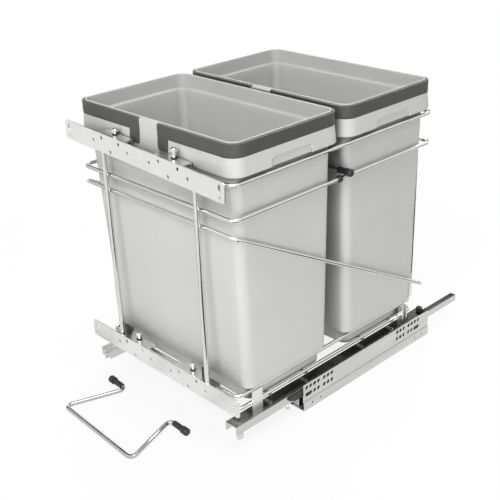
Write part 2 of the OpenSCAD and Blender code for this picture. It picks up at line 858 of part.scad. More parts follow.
// The band that clamps the bag, with its two finger legs, or its pocket when grown by a clearance
module band_shape(y, grow) {
    w = bin_w + 2 * band_proud;
    d = bin_d + 2 * band_proud;
    r = bin_corner_r + band_proud;
    inner = band_t + grow;
    end_x = band_gap / 2 + leg_w / 2;
    translate([0, y, band_z0 - grow])
        linear_extrude(band_h + 2 * grow)
            difference() {
                rounded_rect(w + 2 * grow, d + 2 * grow, r + grow);
                rounded_rect(w - 2 * inner, d - 2 * inner, r - inner);
                translate([-end_x, -d]) square([2 * end_x, d]);
            }
    both_sides()
        along_y(y - d / 2 - grow, inner + grow)
            translate([end_x, band_z1 - (band_h + leg_drop) / 2])
                rounded_rect(leg_w + 2 * grow, band_h + leg_drop + 2 * grow, leg_corner_r + grow);
}

// A level slice of a bin's outline, inset by a wall
module bin_slice(y, z, w, d, r, inset) {
    translate([0, y, z])
        linear_extrude(0.01) rounded_rect(w - 2 * inset, d - 2 * inset, r - inset, $fn = 32);
}

// A bin's body rests over the tray's upper ring, and its narrower base stands inside the ring
module bin_body(y, z, inset) {
    sy = y + shoulder_shift;
    sz = shoulder_z + inset;
    hull() {
        bin_slice(sy, sz, shoulder_w, shoulder_d, shoulder_corner_r, inset + shoulder_edge);
        bin_slice(sy, sz + shoulder_edge, shoulder_w, shoulder_d, shoulder_corner_r, inset);
        bin_slice(y, ledge_z, body_w, body_d, body_corner_r, inset);
    }
    translate([0, y + foot_shift, z])
        linear_extrude(shoulder_z + bin_wall + 1 - z)
            rounded_rect(foot_w - 2 * inset, foot_d - 2 * inset, foot_corner_r - inset);
}

module bin_collar(y) {
    flare = -collar_flare;
    hull() {
        bin_slice(y, collar_z, bin_w, bin_d, bin_corner_r, flare);
        bin_slice(y, band_z0, bin_w, bin_d, bin_corner_r, 0);
    }
    translate([0, y, band_z0]) linear_extrude(band_h) rounded_rect(bin_w, bin_d, bin_corner_r);
    translate([0, y, band_z0])
        linear_extrude(rim_z - band_z0)
            rounded_rect(bin_w - 2 * rim_inset, bin_d - 2 * rim_inset, bin_corner_r - rim_inset);
}

module grip_recess(y) {
    translate([bin_w / 2 - grip_depth, y + grip_offset, collar_z])
        rotate([90, 0, 90])
            linear_extrude(grip_depth + collar_flare + 1)
                rounded_rect(grip_w, 2 * grip_h, grip_corner_r);
}

// A bin is a thin shell whose collar hangs outside the body like a skirt
module bin_shape(y) {
    rim_wall = rim_inset + bin_wall;
    color(bin_grey)
        difference() {
            union() {
                bin_body(y, bin_z, 0);
                difference() {
                    bin_collar(y);
                    translate([0, y, collar_z - 1])
                        linear_extrude(web_z - collar_z + 1)
                            rounded_rect(bin_w - 2 * collar_wall, bin_d - 2 * collar_wall,
                                bin_corner_r - collar_wall);
                }
            }
            bin_body(y, bin_z + bin_floor, bin_wall);
            translate([0, y, ledge_z])
                linear_extrude(rim_z)
                    rounded_rect(bin_w - 2 * rim_wall, bin_d - 2 * rim_wall, bin_corner_r - rim_wall);
            // The pocket is also cut above the legs, so that the band lifts out
            for (up = [0, leg_corner_r + clear]) translate([0, 0, up]) band_shape(y, clear);
            both_sides() grip_recess(y);
        }
}

module front_bin() { bin_shape(bin1_y); }

module rear_bin() { bin_shape(bin2_y); }

module front_bag_band() { color(band_grey) band_shape(bin1_y, 0); }

module rear_bag_band() { color(band_grey) band_shape(bin2_y, 0); }

// Loose wire with rubber caps, lying on the floor in front
module at_loose_wire() {
    translate([loose_x, face_y - loose_y, loose_d / 2])
        rotate([0, 0, loose_turn]) rotate([loose_tilt, 0, 0]) children();
}

// Stations along a bent wire: place and heading, at its two ends and round each bend
function heading(a, b) = atan2(b[1] - a[1], b[0] - a[0]);
function bend_stations(a, b, c, r) =
    let (
        from = heading(a, b),
        turn = (heading(b, c) - from + 540) % 360 - 180,
        side = sign(turn),
        trim = r * tan(abs(turn) / 2),
        start = b - trim * [cos(from), sin(from)],
        centre = start + side * r * [-sin(from), cos(from)]
    )
    [for (i = [0:loose_bend_steps])
        let (h = from + turn * i / loose_bend_steps)
        [centre + side * r * [sin(h), -cos(h)], h]];

function wire_stations(p, r) =
    let (n = len(p) - 1)
    concat(
        [[p[0], heading(p[0], p[1])]],
        [for (i = [1:n - 1]) each bend_stations(p[i - 1], p[i], p[i + 1], r)],
        [[p[n], heading(p[n - 1], p[n])]]
    );

// A round wire swept along its stations as one closed skin
module swept_wire(stations, d, sides) {
    last = len(stations) - 1;
    skin = [for (s = stations, k = [0:sides - 1])
        let (a = 360 * k / sides, out = d / 2 * cos(a))
        [s[0][0] - out * sin(s[1]), s[0][1] + out * cos(s[1]), d / 2 * sin(a)]];
    walls = [for (i = [0:last - 1], k = [0:sides - 1])
        let (m = (k + 1) % sides, here = i * sides, next = here + sides)
        each [[here + k, next + k, next + m], [here + k, next + m, here + m]]];
    ends = [
        [for (k = [0:sides - 1]) k],
        [for (k = [sides - 1:-1:0]) last * sides + k]
    ];
    polyhedron(skin, concat(walls, ends));
}

module loose_wire() {
    path = [
        [-loose_end, loose_depth], [-loose_neck / 2, loose_depth], [-loose_base / 2, 0],
        [loose_base / 2, 0], [loose_neck / 2, loose_depth], [loose_end, loose_depth]
    ];
    color(chrome) at_loose_wire() swept_wire(wire_stations(path, loose_bend_r), loose_d, loose_sides);
}

module loose_wire_caps() {
    color(black_rubber)
        at_loose_wire() both_sides()
            translate([loose_cap_from, loose_depth, 0])
                rotate([0, 90, 0]) rubber_cap(loose_d, loose_sleeve_d, loose_cap_d / 2, loose_cap_sleeve_l);
}

upper_ring();
middle_ring();
brace_ring();
front_posts();
rear_posts();
tray_upper_ring();
tray_lower_ring();
tray_cross_wires();
front_slide_tabs();
rear_slide_tabs();
lower_brackets();
upper_brackets();
lower_adjusting_screws();
upper_adjusting_screws();
lower_nuts();
upper_nuts();
lower_door_plate();
upper_door_plate();
lower_washers();
upper_washers();
post_guides();
divider_wire();
divider_caps();
ring_stops();
left_drawer_channel();
right_drawer_channel();
channel_feet();
left_middle_rail();
right_middle_rail();
left_glides();
right_glides();
left_cabinet_profile();
right_cabinet_profile();
rear_buffers();
buffer_rivets();
front_bin();
rear_bin();
front_bag_band();
rear_bag_band();
loose_wire();
loose_wire_caps();
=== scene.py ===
"""Looks of the pull-out bin frame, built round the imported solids."""

import json
import math

import bmesh
import bpy
from mathutils import Matrix, Vector

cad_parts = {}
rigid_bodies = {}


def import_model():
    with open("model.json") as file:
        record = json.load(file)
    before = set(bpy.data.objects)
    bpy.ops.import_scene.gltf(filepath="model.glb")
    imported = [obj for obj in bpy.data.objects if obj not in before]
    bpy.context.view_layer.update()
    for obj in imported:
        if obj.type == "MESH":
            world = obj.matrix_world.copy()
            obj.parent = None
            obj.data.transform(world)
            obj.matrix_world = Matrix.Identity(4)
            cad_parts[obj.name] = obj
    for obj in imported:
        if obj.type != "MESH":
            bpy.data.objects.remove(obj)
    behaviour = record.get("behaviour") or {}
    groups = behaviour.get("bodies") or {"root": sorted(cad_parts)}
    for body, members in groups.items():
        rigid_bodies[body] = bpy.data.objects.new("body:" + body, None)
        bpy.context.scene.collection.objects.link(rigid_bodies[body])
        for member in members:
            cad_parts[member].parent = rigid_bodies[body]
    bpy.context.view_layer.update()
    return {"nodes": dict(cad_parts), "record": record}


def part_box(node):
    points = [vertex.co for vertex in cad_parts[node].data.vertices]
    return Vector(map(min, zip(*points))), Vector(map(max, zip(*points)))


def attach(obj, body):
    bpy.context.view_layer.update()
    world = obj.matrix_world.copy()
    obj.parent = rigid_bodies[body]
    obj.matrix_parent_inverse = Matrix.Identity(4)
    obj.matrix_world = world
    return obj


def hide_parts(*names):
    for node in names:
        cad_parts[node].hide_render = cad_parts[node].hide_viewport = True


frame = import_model()

MM = 0.001
NODES = frame["nodes"]
BODY_OF = {n: b for b, names in frame["record"]["behaviour"]["bodies"].items() for n in names}
SLOT_OF = {s["node"]: s["material_slot"] for s in frame["record"]["subparts"]}

# Blender's own starting objects, where the scene doesn't start empty
for spare in [o for o in bpy.data.objects if o.name in ("Cube", "Light", "Camera")]:
    bpy.data.objects.remove(spare)


# Materials

# The values of a noise between which a tint or a gloss changes
TINT_FROM, TINT_TO = 0.3, 0.7
GLOSS_FROM, GLOSS_TO = 0.25, 0.75
# How far a face looks up, as its normal's z, between which it takes the painted shade of an upper
# face
LEVEL_FROM, LEVEL_TO = 0.75, 0.97
# The openness of a place, from 0 to 1, over which the painted shade of a corner fades out
OPEN_FROM, OPEN_TO = 0.2, 0.62
# A Mix node's sockets for colours
MIX_A, MIX_B, MIX_RESULT = 6, 7, 2


def add_node(tree, kind, *values, operation=None, **named):
    """A new node. Its inputs come in order or by name, each a value or the socket that feeds it."""
    node = tree.nodes.new(kind)
    if operation:
        node.operation = operation
    given = list(zip(node.inputs, values))
    given += [(node.inputs[name.replace("_", " ")], value) for name, value in named.items()]
    for socket, value in given:
        if isinstance(value, bpy.types.NodeSocket):
            tree.links.new(value, socket)
        else:
            socket.default_value = value
    return node


def map_range(tree, value, from_min, from_max, to_min=0.0, to_max=1.0):
    return add_node(
        tree, "ShaderNodeMapRange", Value=value, From_Min=from_min, From_Max=from_max,
        To_Min=to_min, To_Max=to_max).outputs["Result"]


class Surface:
    """A node material whose patterns lie in the part's own frame, in metres."""

    def __init__(self, name, color, metallic, roughness):
        self.material = bpy.data.materials.new(name)
        self.material.use_nodes = True
        self.material.diffuse_color = (*color, 1)
        self.tree = self.material.node_tree
        self.shader = self.tree.nodes["Principled BSDF"]
        self.shader.inputs["Base Color"].default_value = (*color, 1)
        self.shader.inputs["Metallic"].default_value = metallic
        self.shader.inputs["Roughness"].default_value = roughness
        self.place = add_node(self.tree, "ShaderNodeTexCoord").outputs["Object"]

    def feed(self, socket, value):
        self.tree.links.new(value, self.shader.inputs[socket])

    def base_color(self):
        """The socket that feeds the shader's colour so far."""
        return self.shader.inputs["Base Color"].links[0].from_socket

    def noise(self, scale, detail, stretch=None):
        place = self.place
        if stretch:
            mapping = add_node(self.tree, "ShaderNodeMapping", Vector=place, Scale=stretch)
            place = mapping.outputs["Vector"]
        return add_node(
            self.tree, "ShaderNodeTexNoise", Vector=place, Scale=scale, Detail=detail).outputs[0]

    def ramp(self, value, stops):
        node = add_node(self.tree, "ShaderNodeValToRGB", Fac=value)
        ends = node.color_ramp.elements
        while len(ends) < len(stops):
            ends.new(0.5)
        for end, (at, color) in zip(ends, stops):
            end.position = at
            end.color = (*color, 1)
        return node.outputs["Color"]

    def tint(self, value, low, high):
        self.feed("Base Color", self.ramp(value, [(TINT_FROM, low), (TINT_TO, high)]))

    def gloss(self, value, low, high):
        self.feed("Roughness", map_range(self.tree, value, GLOSS_FROM, GLOSS_TO, low, high))

    def bump(self, value, strength, depth):
        node = add_node(
            self.tree, "ShaderNodeBump", Strength=strength, Distance=depth, Height=value)
        self.feed("Normal", node.outputs["Normal"])

    def paint_top_shade(self, stops, start, end):
        """Painted shade and dark reflection: faces that look up get darker tints, from start to end
        along the slides.
        """
        normal = add_node(self.tree, "ShaderNodeNewGeometry").outputs["Normal"]
        up = add_node(self.tree, "ShaderNodeSeparateXYZ", normal).outputs["Z"]
        along = add_node(self.tree, "ShaderNodeSeparateXYZ", self.place).outputs["Y"]
        top = self.ramp(map_range(self.tree, along, start, end), stops)
        mix = add_node(
            self.tree, "ShaderNodeMix", map_range(self.tree, up, LEVEL_FROM, LEVEL_TO))
        mix.data_type = "RGBA"
        self.tree.links.new(self.base_color(), mix.inputs[MIX_A])
        self.tree.links.new(top, mix.inputs[MIX_B])
        self.feed("Base Color", mix.outputs[MIX_RESULT])

    def paint_corner_shade(self, reach, low):
        """Painted shade: in narrow gaps and corners the colour is multiplied by a share that falls
        to low.
        """
        near = add_node(self.tree, "ShaderNodeAmbientOcclusion", Distance=reach)
        near.samples = 8
        share = map_range(self.tree, near.outputs["AO"], OPEN_FROM, OPEN_TO, low)
        shaded = add_node(
            self.tree, "ShaderNodeVectorMath", self.base_color(), operation="SCALE", Scale=share)
        self.feed("Base Color", shaded.outputs["Vector"])


# Noises of rolled steel, drawn out along the slides, and of the plates, drawn out across them
ROLLED_TINT = (60, 4, (1, 0.15, 1))
ROLLED_GLOSS = (110, 4, (1, 0.1, 1))
ROLLED_BUMP = (120, 2, (1, 0.12, 1))
PLATE_BUMP = (90, 2, (0.2, 1, 1))

# Each look: colour, metallic and roughness, then its tint, gloss and bump. These begin with a
# noise: scale, detail and, where it is drawn out, its stretch. The tint goes on with two shares
# of the colour, the gloss with two values of roughness, the bump with strength and depth in m.
LOOKS = {
    "bin_plastic": (
        (0.60, 0.605, 0.58), 0.0, 0.42,
        ((9, 2), 0.975, 1.025), ((60, 4), 0.38, 0.48), ((1400, 2), 0.06, 0.0002)),
    "band_plastic": (
        (0.069, 0.070, 0.063), 0.0, 0.45,
        ((14, 3), 0.92, 1.08), ((90, 4), 0.42, 0.54), ((1700, 2), 0.10, 0.0002)),
    "chrome": (
        (0.72, 0.725, 0.715), 1.0, 0.08,
        ((30, 3), 0.96, 1.03), ((160, 4), 0.08, 0.15), ((40, 2), 0.006, 0.0001)),
    # A darker copy of chrome for the loose wire: painted dark reflections
    "dull_chrome": (
        (0.48, 0.485, 0.475), 1.0, 0.08,
        ((30, 3), 0.94, 1.05), ((160, 4), 0.08, 0.15), ((40, 2), 0.006, 0.0001)),
    "zinc": (
        (0.80, 0.80, 0.785), 1.0, 0.3,
        ((18, 3), 0.96, 1.03), ((90, 4, (1, 8, 8)), 0.27, 0.36), (PLATE_BUMP, 0.02, 0.0001)),
    # A darker copy of zinc for the brackets: painted shade under the bins
    "bracket_zinc": (
        (0.27, 0.27, 0.26), 1.0, 0.32,
        ((24, 3), 0.94, 1.05), ((90, 4, (1, 6, 6)), 0.28, 0.38), (PLATE_BUMP, 0.02, 0.0001)),
    "rail_steel": (
        (0.10, 0.10, 0.095), 1.0, 0.34,
        (ROLLED_TINT, 0.85, 1.15), (ROLLED_GLOSS, 0.28, 0.42), (ROLLED_BUMP, 0.03, 0.0001)),
    "galvanised": (
        (0.60, 0.60, 0.585), 1.0, 0.22,
        (ROLLED_TINT, 0.95, 1.05), (ROLLED_GLOSS, 0.16, 0.28), (ROLLED_BUMP, 0.02, 0.0001)),
    # The right channel's steel, whose upper faces get a painted shade and dark reflection
    "channel_steel": (
        (0.60, 0.60, 0.585), 1.0, 0.24,
        (ROLLED_TINT, 0.92, 1.04), (ROLLED_GLOSS, 0.18, 0.3), (ROLLED_BUMP, 0.02, 0.0001)),
    "black_rubber": (
        (0.022, 0.022, 0.022), 0.0, 0.5,
        ((120, 3), 0.8, 1.3), ((200, 4), 0.42, 0.6), ((1500, 3), 0.12, 0.0002)),
    "clear_plastic": (
        (0.80, 0.80, 0.78), 0.0, 0.3,
        ((60, 3), 0.96, 1.03), ((200, 3), 0.25, 0.36), ((900, 2), 0.05, 0.0001)),
}
# The right channel's upper faces: tints of painted shade and dark reflection along them, and the y
# in m where they start and end
CHANNEL_SHADE, CHANNEL_THIN_SHADE = (0.16, 0.16, 0.15), (0.20, 0.20, 0.19)
CHANNEL_TOP_SHADE = [
    (0.0, (0.38, 0.38, 0.365)), (0.22, CHANNEL_SHADE), (0.77, CHANNEL_SHADE), (0.82, CHANNEL_THIN_SHADE)]
CHANNEL_START, CHANNEL_END = -0.21, 0.34


def shade(color, factor):
    return tuple(min(1.0, c * factor) for c in color)


def make_surface(name):
    color, metallic, roughness, tint, gloss, bump = LOOKS[name]
    s = Surface(name, color, metallic, roughness)
    s.tint(s.noise(*tint[0]), shade(color, tint[1]), shade(color, tint[2]))
    s.gloss(s.noise(*gloss[0]), gloss[1], gloss[2])
    s.bump(s.noise(*bump[0]), bump[1], bump[2])
    return s


SURFACES = {name: make_surface(name) for name in LOOKS}
# Painted shade in the gaps between the bins and in their corners
SURFACES["bin_plastic"].paint_corner_shade(reach=0.07, low=0.15)
SURFACES["band_plastic"].shader.inputs["Specular IOR Level"].default_value = 0.4
# Painted shade and dark reflection on the right channel's upper faces
SURFACES["channel_steel"].paint_top_shade(CHANNEL_TOP_SHADE, CHANNEL_START, CHANNEL_END)
SURFACES["clear_plastic"].shader.inputs["Transmission Weight"].default_value = 0.25

# A node has the look of its material slot, apart from these, three of which carry painted shade:
# the right channel's top, the brackets and the loose wire
LOOK_OF = dict(
    SLOT_OF, right_drawer_channel="channel_steel",
    left_middle_rail="rail_steel", right_middle_rail="rail_steel",
    lower_brackets="bracket_zinc", upper_brackets="bracket_zinc", loose_wire="dull_chrome")


def dress(obj, look):
    obj.data.materials.clear()
    obj.data.materials.append(SURFACES[look].material)


for node, obj in NODES.items():
    dress(obj, LOOK_OF[node])


# Making of pieces

SMOOTH_ANGLE = 35
WELD = 0.004


def adopt(mesh, name, body, slot, *nodes, look=None):
    """A new piece that rides on a body and stands for the named nodes."""
    obj = bpy.data.objects.new(name, mesh)
    bpy.context.scene.collection.objects.link(obj)
    dress(obj, look or slot)
    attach(obj, body)
    if nodes:
        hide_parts(*nodes)
    return obj


def mesh_from(bm, name, smooth_angle=SMOOTH_ANGLE):
    mesh = bpy.data.meshes.new(name)
    bm.to_mesh(mesh)
    bm.free()
    mesh.polygons.foreach_set("use_smooth", [True] * len(mesh.polygons))
    mesh.set_sharp_from_angle(angle=math.radians(smooth_angle))
    return mesh


def stand_in(bm, node, ending, smooth_angle=SMOOTH_ANGLE):
    """A piece of this mesh in place of a node."""
    name = node + ending
    mesh = mesh_from(bm, name, smooth_angle)
    return adopt(mesh, name, BODY_OF[node], SLOT_OF[node], node, look=LOOK_OF[node])


def welded_copy(node):
    """A copy of a node's mesh, whose points are joined where its sharp edges keep them apart."""
    bm = bmesh.new()
    bm.from_mesh(NODES[node].data)
    bmesh.ops.remove_doubles(bm, verts=bm.verts, dist=WELD * MM)
    return bm


def skin(bm, rings):
    """Faces from each ring of points to the next, and one on each end."""
    count = len(rings[0])
    for low, high in zip(rings, rings[1:]):
        for i in range(count):
            j = (i + 1) % count
            bm.faces.new((low[i], low[j], high[j], high[i]))
    bm.faces.new(list(reversed(rings[0])))
    bm.faces.new(rings[-1])
    bmesh.ops.recalc_face_normals(bm, faces=bm.faces)


def round_edges(bm, width, segments, angle):
    """Rounds the edges that bend by more than angle, in degrees, by width, in mm."""
    sharp = [
        e for e in bm.edges
        if len(e.link_faces) == 2 and e.calc_face_angle(0) > math.radians(angle)
    ]
    bmesh.ops.bevel(
        bm, geom=sharp, offset=width * MM, segments=segments, profile=0.5,
        affect="EDGES", clamp_overlap=False, offset_type="OFFSET"
    )


def even_faces(piece):
    """Lets large flat faces keep their own normal beside rounded edges."""
    normals = piece.modifiers.new("normals", "WEIGHTED_NORMAL")
    normals.keep_sharp = True


def spread_of(points):
    """The middle of points in a plane, and how far the farthest lies from it."""
    us, vs = zip(*points)
    middle = Vector(((min(us) + max(us)) / 2, (min(vs) + max(vs)) / 2))
    return middle, max((p - middle).length for p in points)


def spaced(a, b, step):
    """Places from a up to but without b, about a step apart."""
    count = max(1, round(abs(b - a) / step))
    return [a + (b - a) * i / count for i in range(count)]


# Nodes whose sheet or block edges show: copies with rounded edges, by this width in mm

EDGES = {
    "lower_door_plate": 0.35, "upper_door_plate": 0.35,
    "lower_brackets": 0.35, "upper_brackets": 0.35,
    "front_slide_tabs": 0.4, "rear_slide_tabs": 0.4,
    "left_drawer_channel": 0.4, "right_drawer_channel": 0.4,
    "left_cabinet_profile": 0.35, "right_cabinet_profile": 0.35,
    "left_middle_rail": 0.35, "right_middle_rail": 0.35,
    "left_glides": 0.3, "right_glides": 0.3,
    "channel_feet": 0.8, "post_guides": 0.9, "rear_buffers": 0.8,
}
EDGE_SEGMENTS, EDGE_ANGLE = 2, 32
for node, width in EDGES.items():
    copy = welded_copy(node)
    round_edges(copy, width, EDGE_SEGMENTS, EDGE_ANGLE)
    even_faces(stand_in(copy, node, "_eased"))


# Bins, in mm

FLARE = 2.5
COLLAR_R = 22.0
COLLAR_Z = 429.0
COLLAR_WALL = 3.0
BODY_STEP = 8.5
BIN_WALL = 2.5
BIN_FLOOR = 3.0
FRONT_LEAN, REAR_LEAN, SIDE_LEAN = 14.0, 2.0, 6.0
SHOULDER_Z, SHOULDER_R, SHOULDER_EDGE = 80.6, 15.0, 5.0
BASE_FRONT, BASE_REAR = 13.0, 2.0
FOOT_W = 296.0
FOOT_R = 16.0
BAND_Z0, BAND_Z1 = 456.5, 475.5
BAND_T, BAND_PROUD = 4.5, 0.5
POCKET_DEPTH = 4.4
CLEAR = 0.4
POCKET_Z = BAND_Z0 - CLEAR
LEDGE_Z = 453.0
WEB_Z = 450.5
BAND_GAP, LEG_W, LEG_DROP, LEG_R = 41.0, 23.0, 20.0, 7.0
GRIP_W, GRIP_H, GRIP_R, GRIP_IN, GRIP_Y = 82.0, 14.0, 9.0, 1.5, 3.0
# The bridge between the finger legs bends in over its last mm, by this times their square
BRIDGE_ROLL, BRIDGE_BEND = 2.4, 0.4

# Rows of a bin's shell, outside from the bottom up
QUARTER = [math.radians(15 * i) for i in range(7)]
CORNER_STEPS = 12
BOTTOM_INSET, FOOT_EDGE = 13.0, 5.0
BASE_ROWS = (66.0, 74.0, SHOULDER_Z - 1.2)
SHOULDER_BEND = ((0.03, -0.3), (0.12, 0.0))  # share of the shoulder's width, lift
SHOULDER_ROUND_W, SHOULDER_ROUND_H = 0.56, 7.0
BODY_START, BODY_STOP, BODY_ROW = 92.0, WEB_Z - 8, 26.0
WEB_BEND = ((2.2, 0.0), (0.7, -0.5), (0.0, -1.8))  # drop, inset
COLLAR_ROOT = ((0.0, 1.4), (0.6, 0.3), (1.6, 0.0), (7.0, 0.0), (14.0, 0.0))  # drop, inset
COLLAR_FOOT = 1.3
COLLAR_EDGE = ((0.10, 0.35), (0.28, 0.0), (0.62, 0.0), (0.82, 0.25), (0.94, 0.75))  # share, lift
COLLAR_ROW_0, COLLAR_ROW, COLLAR_ROWS = 1.6, 0.9, 30
POCKET_NEAR, POCKET_WALL = 0.3, 0.06
BAND_ROWS = [458.0, 461.0, 464.0, 467.0, 470.0, 472.6, 473.6, 474.4, 475.0, 475.6]
LIP = (  # inset, drop under the rim
    (4.4, 0.95), (4.5, 0.5), (4.8, 0.15), (5.25, 0.0),
    (6.0, 0.0), (6.45, 0.15), (6.8, 0.5), (6.9, 1.1))
# And inside from the rim to the floor
INNER_INSET, INNER_ROWS = 6.9, (471.0, 463.0, 456.5, LEDGE_Z + 1.6)
LEDGE_ROOT = ((0.6, 7.2), (0.1, 7.9))  # lift, inset
LEDGE_BEND = ((0.0, 0.6), (0.15, 1.5), (0.7, 2.2), (1.8, BIN_WALL))  # drop, inset
WALL_START, WALL_STOP = LEDGE_Z - 12, SHOULDER_Z + 14
INNER_ROUND_W, INNER_ROUND_H = 0.45, 5.6
INNER_BEND = ((0.08, 0.0), (0.0, -1.0))  # share of the shoulder's width, lift
FLOOR_EDGE, FLOOR_INSET = 9.0, 15.0


def past_corner(du, dz, r):
    """Whether a place is cut off by a round corner; du and dz count from the round's centre."""
    return du > 0 and dz > 0 and du * du + dz * dz > r * r


def in_leg_pocket(x, z):
    """The pocket of a finger leg, with round lower corners."""
    half = LEG_W / 2 + CLEAR
    u = abs(abs(x) - BAND_GAP / 2 - LEG_W / 2)
    low = BAND_Z0 - LEG_DROP - CLEAR
    if u > half or z < low:
        return False
    r = LEG_R + CLEAR
    return not past_corner(u - (half - r), (low + r) - z, r)


def in_grip(y, z):
    """The shallow grip in a side of the collar, with round upper corners."""
    u = abs(y - GRIP_Y)
    top = COLLAR_Z + GRIP_H
    if u > GRIP_W / 2 or z > top:
        return False
    return not past_corner(u - (GRIP_W / 2 - GRIP_R), z - (top - GRIP_R), GRIP_R)


def collar_inset(side, along, z):
    """How far the collar's outer face lies inside its upper outline."""
    if side == "front" and abs(along) < BAND_GAP / 2 - CLEAR:
        if z > BAND_Z1 - BRIDGE_ROLL:
            return min(POCKET_DEPTH, (z - BAND_Z1 + BRIDGE_ROLL) ** 2 * BRIDGE_BEND)
    elif z > POCKET_Z:
        return POCKET_DEPTH
    if side == "front" and in_leg_pocket(along, z):
        return POCKET_DEPTH
    flare = -FLARE * max(0.0, (BAND_Z0 - z) / (BAND_Z0 - COLLAR_Z))
    if side in ("left", "right") and in_grip(along, z):
        return max(flare, GRIP_IN)
    return flare


def front_columns(half):
    """Places along a bin's front, close together at the leg pockets' walls and round corners."""
    inner, outer = BAND_GAP / 2 - CLEAR, BAND_GAP / 2 + LEG_W + CLEAR
    wall, bend, fine, middling, wide, bridge = 0.08, 8, 0.7, 2.5, 9, 4
    before_inner, past_inner, before_outer, past_outer = 0.1, 0.6, 0.3, 3
    right = [0.0] + spaced(bridge, inner - before_inner, bridge) + [inner - wall, inner + wall]
    right += spaced(inner + past_inner, inner + bend, fine)
    right += spaced(inner + bend, outer - bend, middling)
    right += spaced(outer - bend, outer - before_outer, fine) + [outer - wall, outer + wall]
    right += spaced(outer + past_outer, half, wide) + [half]
    return [-x for x in reversed(right[1:])] + right


def side_columns(half):
    """Places along a bin's side, close together at the grip's ends."""
    lo, hi = GRIP_Y - GRIP_W / 2, GRIP_Y + GRIP_W / 2
    wall, bend, fine, middling, wide, clear = 0.1, 10, 0.8, 6, 8, 2
    line = spaced(-half, lo - clear, wide) + [lo - wall, lo + wall]
    line += spaced(lo + fine, lo + bend, fine) + spaced(lo + bend, hi - bend, middling)
    line += spaced(hi - bend, hi - fine, fine) + [hi - wall, hi + wall]
    return line + spaced(hi + clear, half, wide) + [half]


def bin_columns(half_x, half_y):
    """Places round a bin: side, share or angle, distance along the side, a corner's signs."""
    rear_step = 14

    def corner(start, signs):
        angles = [math.radians(start + 90 * i / CORNER_STEPS) for i in range(1, CORNER_STEPS)]
        return [("corner", angle, 0.0, signs) for angle in angles]

    columns = [("front", x / half_x, x, None) for x in front_columns(half_x)]
    columns += corner(270, (1, -1))
    columns += [("right", y / half_y, y, None) for y in side_columns(half_y)]
    columns += corner(0, (1, 1))
    rear = spaced(-half_x, half_x, rear_step) + [half_x]
    columns += [("rear", x / half_x, x, None) for x in reversed(rear)]
    columns += corner(90, (-1, 1))
    columns += [("left", y / half_y, y, None) for y in reversed(side_columns(half_y))]
    return columns + corner(180, (-1, -1))


def loop_points(columns, w, d, r, cy, z, inset):
    """A level loop; inset is a number or a function of side, distance along it and height."""
    ax, ay = w / 2 - r, d / 2 - r
    points = []
    for side, value, along, signs in columns:
        gap = inset(side, along, z) if callable(inset) else inset
        out = r - gap
        if side == "corner":
            x = signs[0] * ax + out * math.cos(value)
            y = signs[1] * ay + out * math.sin(value)
        elif side in ("front", "rear"):
            x, y = value * ax, (ay + out) * (-1 if side == "front" else 1)
        else:
            x, y = (ax + out) * (1 if side == "right" else -1), value * ay
        points.append((x * MM, (cy + y) * MM, z * MM))
    return points


